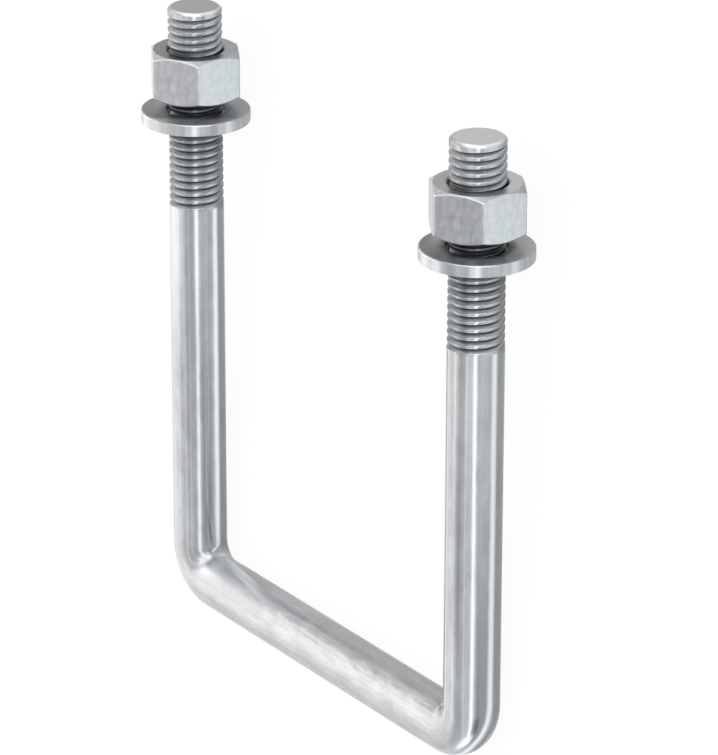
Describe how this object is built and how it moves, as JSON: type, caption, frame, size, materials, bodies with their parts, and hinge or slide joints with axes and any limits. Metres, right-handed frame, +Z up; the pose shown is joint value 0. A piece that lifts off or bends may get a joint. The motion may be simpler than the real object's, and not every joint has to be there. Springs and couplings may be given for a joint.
{
  "type": "square u-bolt",
  "caption": "Square u-bolt bent from round bar, with threaded legs, each with a flat washer and a hexagon nut.",
  "frame": {"origin": "on the ground below the middle of the bolt as it lies at rest on its crossbar and on the two washers", "axes": "+X from the left leg to the right leg, along the crossbar; +Y from the crossbar towards the threaded tips, along the ground; +Z up. The legs climb from the crossbar by the rest tilt of 3.17 degrees."},
  "size_m": [0.128, 0.14, 0.0241],
  "materials": {
    "bar_steel": "drawn bar, bright zinc, fine lengthwise marks",
    "washer_steel": "stamped, bright zinc",
    "nut_steel": "bright zinc, slightly mottled flats"
  },
  "bodies": {
    "bolt": {"u_bolt": "bar_steel"},
    "washer_left": {"washer_left": "washer_steel"},
    "nut_left": {"nut_left": "nut_steel"},
    "washer_right": {"washer_right": "washer_steel"},
    "nut_right": {"nut_right": "nut_steel"}
  },
  "joints": [
    {"name": "left_nut_travel", "type": "slide", "parent": "bolt", "child": "washer_left", "axis": [0, 0.9985, 0.0552], "range_m": [-0.02275, 0.0175]},
    {"name": "left_nut_turn", "type": "hinge", "parent": "washer_left", "child": "nut_left", "pos_m": [-0.052, 0.05487, 0.01258], "axis": [0, 0.9985, 0.0552], "range_deg": [-4681, 3601]},
    {"name": "right_nut_travel", "type": "slide", "parent": "bolt", "child": "washer_right", "axis": [0, 0.9985, 0.0552], "range_m": [-0.02275, 0.0175]},
    {"name": "right_nut_turn", "type": "hinge", "parent": "washer_right", "child": "nut_right", "pos_m": [0.052, 0.05487, 0.01258], "axis": [0, 0.9985, 0.0552], "range_deg": [-4681, 3601]}
  ],
  "couplings": [
    {"joint": "left_nut_turn", "follows": "left_nut_travel", "rad_per_m": 3590.4},
    {"joint": "right_nut_turn", "follows": "right_nut_travel", "rad_per_m": 3590.4}
  ]
}
